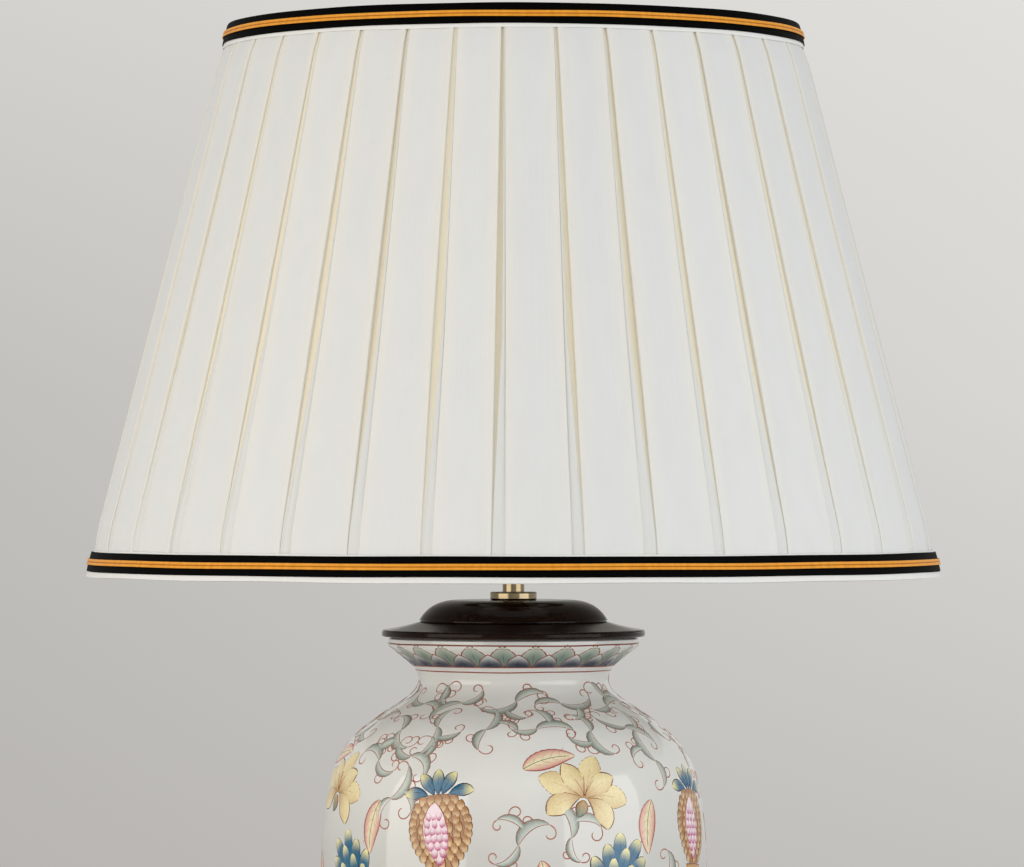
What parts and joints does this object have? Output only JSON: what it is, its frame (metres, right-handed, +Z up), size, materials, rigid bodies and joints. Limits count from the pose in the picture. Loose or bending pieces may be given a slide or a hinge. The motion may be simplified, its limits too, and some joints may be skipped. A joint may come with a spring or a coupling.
{
  "type": "table lamp",
  "caption": "Ceramic jar table lamp: painted porcelain body between a dark turned base and cap, brass fittings, harp and bulb under a pleated cloth shade with black and gold trim.",
  "frame": {"origin": "on the table, under the middle of the base", "axes": "+Z up along the lamp's axis, the front faces -Y and the cable inlet +Y, +X to the viewer's right"},
  "size_m": [0.4573, 0.4572, 0.7357],
  "materials": {
    "felt": "dense wool felt",
    "dark_wood": "dark stained hardwood, semi-gloss lacquer",
    "zinc_steel": "zinc plated steel",
    "black_rubber": "moulded rubber",
    "cork_rubber": "cork and rubber sheet",
    "glazed_porcelain": "white gloss glaze with painted enamel",
    "polished_brass": "polished and lacquered brass",
    "phenolic": "moulded phenolic",
    "aluminium_shell": "rolled aluminium thread",
    "liner_card": "pressed insulating card",
    "solder_tin": "tinned contact",
    "black_glass": "black vitrite",
    "white_plastic": "moulded white plastic",
    "opal_plastic": "opal diffuser",
    "pleat_cloth": "cream pleated cloth",
    "lining_cloth": "white lining cloth",
    "painted_wire": "white painted wire",
    "binding_cloth": "white bias binding",
    "black_tape": "black satin tape",
    "gold_braid": "gold soutache braid"
  },
  "bodies": {
    "lamp": {"base_felt": "felt", "base_plinth": "dark_wood", "base_washer": "zinc_steel", "base_nut": "zinc_steel", "cable_grommet": "black_rubber", "foot_gasket": "cork_rubber", "vase": "glazed_porcelain", "neck_gasket": "cork_rubber", "vase_cap": "dark_wood", "threaded_tube": "zinc_steel", "brass_collar": "polished_brass", "brass_sleeve": "polished_brass", "harp_saddle": "polished_brass", "harp": "polished_brass", "harp_stud": "polished_brass", "socket_cap": "polished_brass", "socket_set_screw": "zinc_steel", "switch_block": "phenolic", "terminal_screws": "zinc_steel", "screw_shell": "aluminium_shell", "centre_contact": "polished_brass", "socket_liner": "liner_card", "socket_shell": "polished_brass"},
    "ferrule_left": {"ferrule_left": "polished_brass"},
    "ferrule_right": {"ferrule_right": "polished_brass"},
    "switch_key": {"key_shaft": "polished_brass", "key_paddle": "phenolic"},
    "bulb": {"bulb_contact": "solder_tin", "bulb_insulator": "black_glass", "bulb_screw_cap": "aluminium_shell", "bulb_collar": "white_plastic", "bulb_dome": "opal_plastic"},
    "finial": {"finial": "polished_brass"},
    "shade": {"shade_pleats": "pleat_cloth", "shade_lining": "lining_cloth", "shade_ribs": "painted_wire", "shade_top_ring": "painted_wire", "shade_bottom_ring": "painted_wire", "shade_hub": "polished_brass", "shade_arms": "painted_wire", "top_binding": "binding_cloth", "bottom_binding": "binding_cloth", "top_trim_black": "black_tape", "top_trim_gold": "gold_braid", "bottom_trim_black": "black_tape", "bottom_trim_gold": "gold_braid"}
  },
  "joints": [
    {"name": "shade_turn", "type": "hinge", "parent": "lamp", "child": "shade", "pos_m": [0, 0, 0.71], "axis": [0, 0, 1], "continuous": true},
    {"name": "finial_turn", "type": "hinge", "parent": "lamp", "child": "finial", "pos_m": [0, 0, 0.72], "axis": [0, 0, 1], "continuous": true},
    {"name": "bulb_turn", "type": "hinge", "parent": "lamp", "child": "bulb", "pos_m": [0, 0, 0.5], "axis": [0, 0, 1], "continuous": true},
    {"name": "switch_key_turn", "type": "hinge", "parent": "lamp", "child": "switch_key", "pos_m": [0, -0.02, 0.473], "axis": [0, -1, 0], "continuous": true},
    {"name": "ferrule_left_slide", "type": "slide", "parent": "lamp", "child": "ferrule_left", "axis": [0, 0, 1], "range_m": [0, 0.016]},
    {"name": "ferrule_right_slide", "type": "slide", "parent": "lamp", "child": "ferrule_right", "axis": [0, 0, 1], "range_m": [0, 0.016]}
  ]
}
